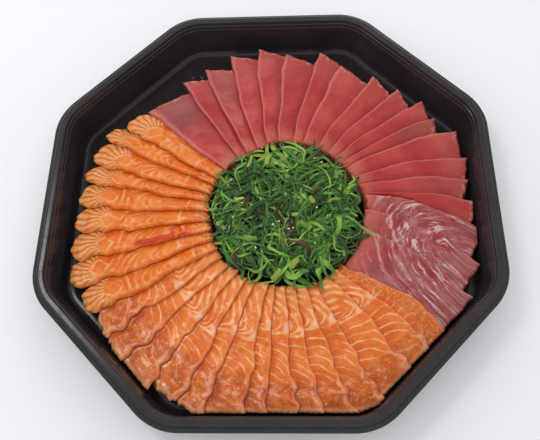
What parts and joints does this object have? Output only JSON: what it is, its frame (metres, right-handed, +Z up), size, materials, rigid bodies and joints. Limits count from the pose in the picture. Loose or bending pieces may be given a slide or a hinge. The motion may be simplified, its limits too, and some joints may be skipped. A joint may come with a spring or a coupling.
{
  "type": "sashimi plate",
  "caption": "Black octagonal tray with tuna and salmon slices fanned in a closed ring round a heap of seaweed salad.",
  "frame": {"origin": "on the ground under the middle of the tray, at the centre of the bottom of the bounding box", "axes": "+Z up out of the open tray; +Y towards the side where the red slices point away; +X to the right of someone who faces +Y"},
  "size_m": [0.32, 0.32, 0.032],
  "materials": {
    "tray_plastic": "glossy moulded sheet",
    "tuna_flesh": "moist cut flesh, stands in for raw tuna",
    "salmon_belly_flesh": "moist cut flesh with pale fat lines, stands in for raw salmon belly",
    "salmon_back_flesh": "moist cut flesh with fine fat lines, stands in for raw salmon back",
    "seaweed": "wet translucent strands, stands in for dressed seaweed"
  },
  "bodies": {
    "root": {"tray": "tray_plastic", "seaweed_heap": "seaweed", "tuna_01": "tuna_flesh", "tuna_02": "tuna_flesh", "tuna_03": "tuna_flesh", "tuna_04": "tuna_flesh", "tuna_05": "tuna_flesh", "tuna_06": "tuna_flesh", "tuna_07": "tuna_flesh", "tuna_08": "tuna_flesh", "tuna_09": "tuna_flesh", "tuna_10": "tuna_flesh", "tuna_11": "tuna_flesh", "tuna_12": "tuna_flesh", "tuna_13": "tuna_flesh", "tuna_14": "tuna_flesh", "tuna_15": "tuna_flesh", "tuna_16": "tuna_flesh", "tuna_17": "tuna_flesh", "tuna_18": "tuna_flesh", "tuna_19": "tuna_flesh", "salmon_thin_01": "salmon_belly_flesh", "salmon_thin_02": "salmon_belly_flesh", "salmon_thin_03": "salmon_belly_flesh", "salmon_thin_04": "salmon_belly_flesh", "salmon_thin_05": "salmon_belly_flesh", "salmon_thin_06": "salmon_belly_flesh", "salmon_thin_07": "salmon_belly_flesh", "salmon_thin_08": "salmon_belly_flesh", "salmon_thin_09": "salmon_belly_flesh", "salmon_thin_10": "salmon_belly_flesh", "salmon_thin_11": "salmon_belly_flesh", "salmon_thin_12": "salmon_belly_flesh", "salmon_thin_13": "salmon_belly_flesh", "salmon_thin_14": "salmon_belly_flesh", "salmon_thick_01": "salmon_back_flesh", "salmon_thick_02": "salmon_back_flesh", "salmon_thick_03": "salmon_back_flesh", "salmon_thick_04": "salmon_back_flesh", "salmon_thick_05": "salmon_back_flesh", "salmon_thick_06": "salmon_back_flesh", "salmon_thick_07": "salmon_back_flesh", "salmon_thick_08": "salmon_back_flesh", "salmon_thick_09": "salmon_back_flesh"}
  },
  "joints": []
}
